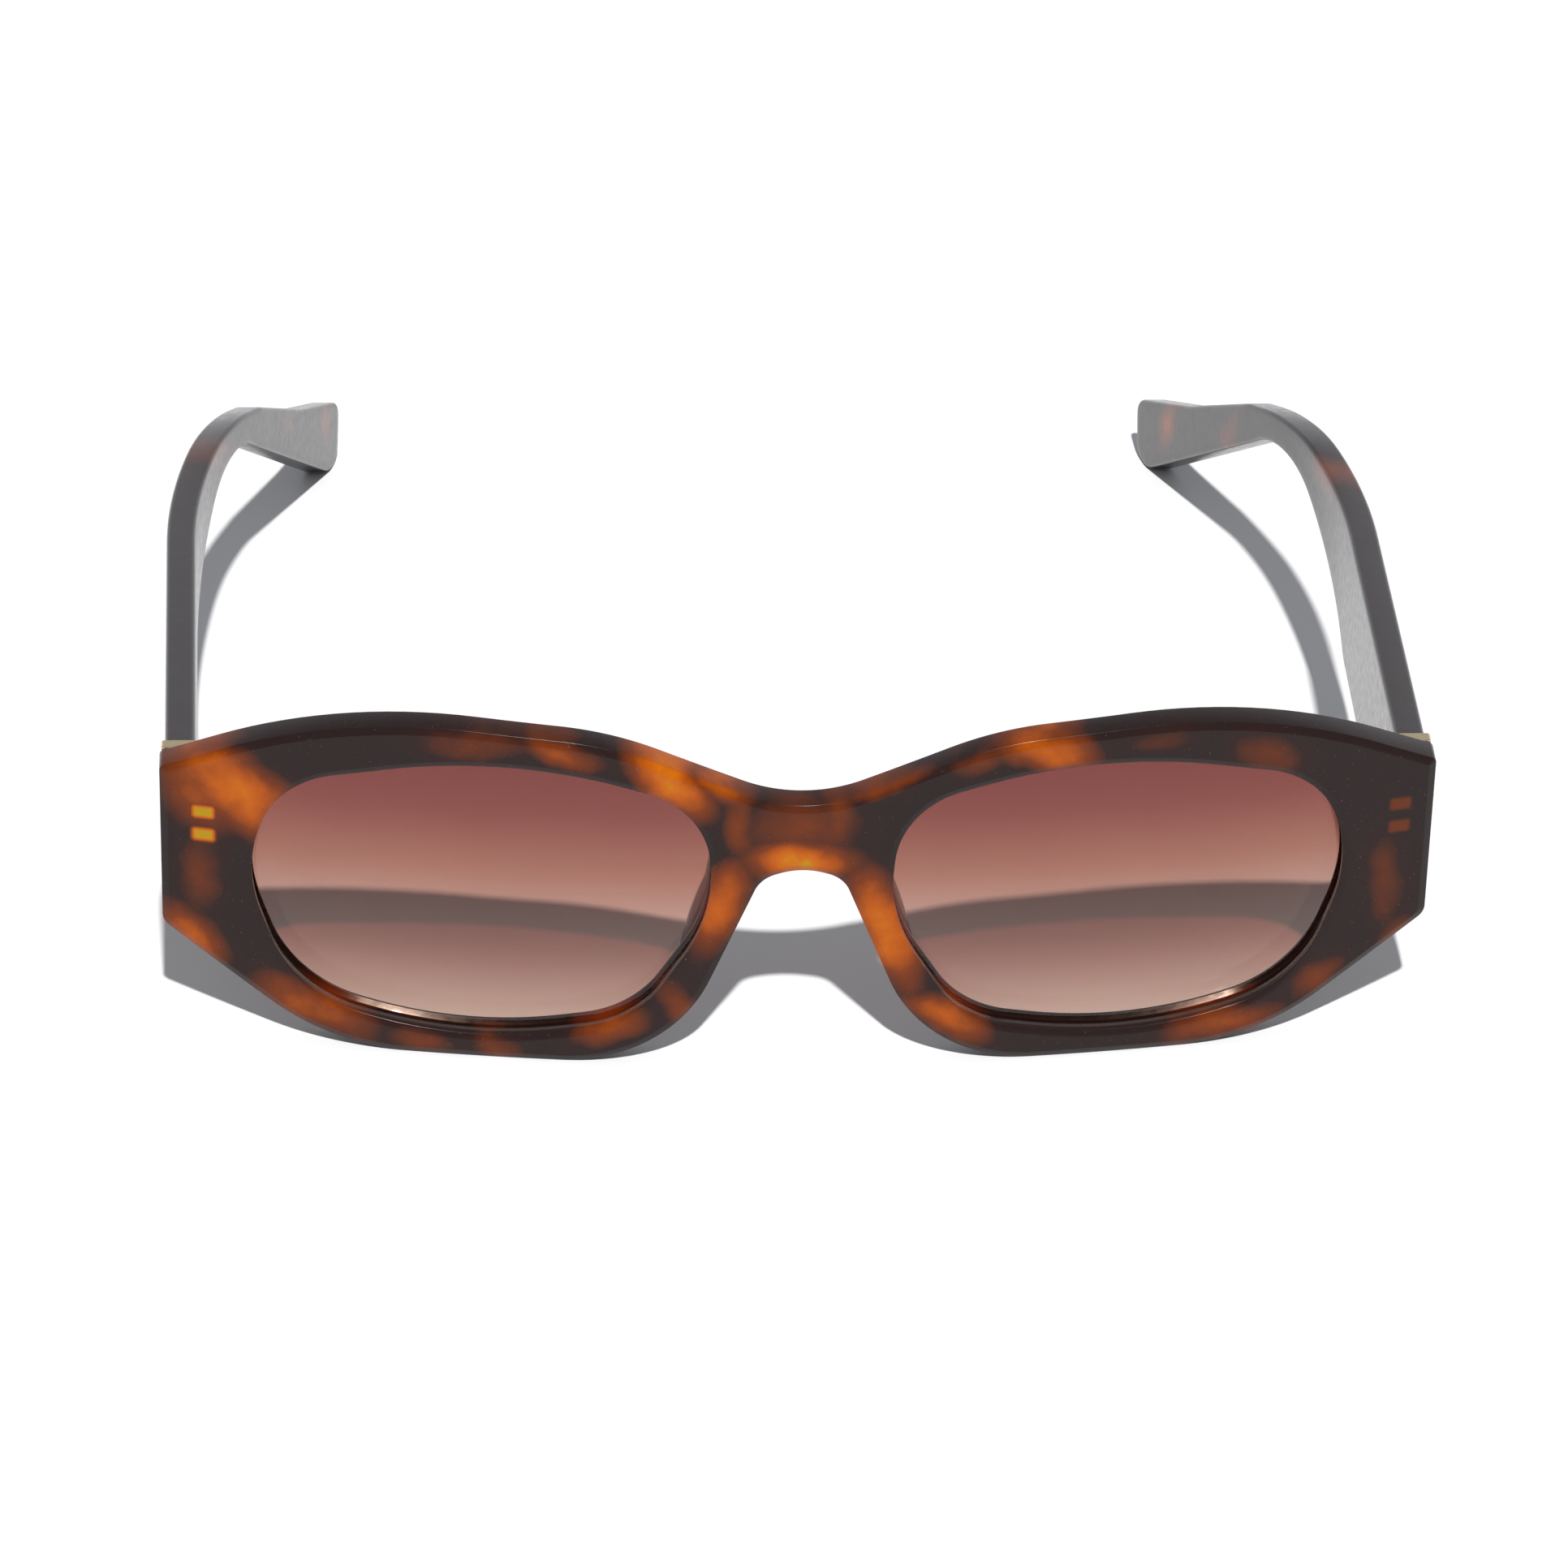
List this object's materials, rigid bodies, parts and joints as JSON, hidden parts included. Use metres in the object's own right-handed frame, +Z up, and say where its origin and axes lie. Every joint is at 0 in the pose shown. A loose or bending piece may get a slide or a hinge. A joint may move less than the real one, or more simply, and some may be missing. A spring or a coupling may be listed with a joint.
{
  "type": "cat eye sunglasses",
  "caption": "Thick acetate cat eye sunglasses with gradient tinted lenses, built-up nose pads, barrel hinges and folding wire-core temples.",
  "frame": {"origin": "on the table, at the middle of the overall width and depth of the open glasses", "axes": "+X towards the wearer's left, +Y from the front to the temple tips, +Z up"},
  "size_m": [0.145, 0.153, 0.0439],
  "materials": {
    "acetate": "polished tortoiseshell acetate, amber blotches in dark brown",
    "lens": "clear nylon with a brown-rose to peach gradient tint",
    "gold_metal": "pale gold plated nickel silver, satin",
    "screw_steel": "turned steel",
    "core_steel": "drawn nickel silver wire"
  },
  "bodies": {
    "front": {"front": "acetate", "lens_left": "lens", "lens_right": "lens", "nose_pad_left": "acetate", "nose_pad_right": "acetate", "end_plate_left": "gold_metal", "end_plate_right": "gold_metal", "hinge_front_left": "gold_metal", "hinge_front_right": "gold_metal", "hinge_screw_left": "screw_steel", "hinge_screw_right": "screw_steel"},
    "temple_left": {"temple_left": "acetate", "hinge_temple_left": "gold_metal", "core_wire_left": "core_steel"},
    "temple_right": {"temple_right": "acetate", "hinge_temple_right": "gold_metal", "core_wire_right": "core_steel"}
  },
  "joints": [
    {"name": "fold_left", "type": "hinge", "parent": "front", "child": "temple_left", "pos_m": [0.0661, -0.06116, 0.027], "axis": [0, 0, 1], "range_deg": [0, 84.1]},
    {"name": "fold_right", "type": "hinge", "parent": "front", "child": "temple_right", "pos_m": [-0.0661, -0.06116, 0.027], "axis": [0, 0, -1], "range_deg": [0, 71.6]}
  ]
}
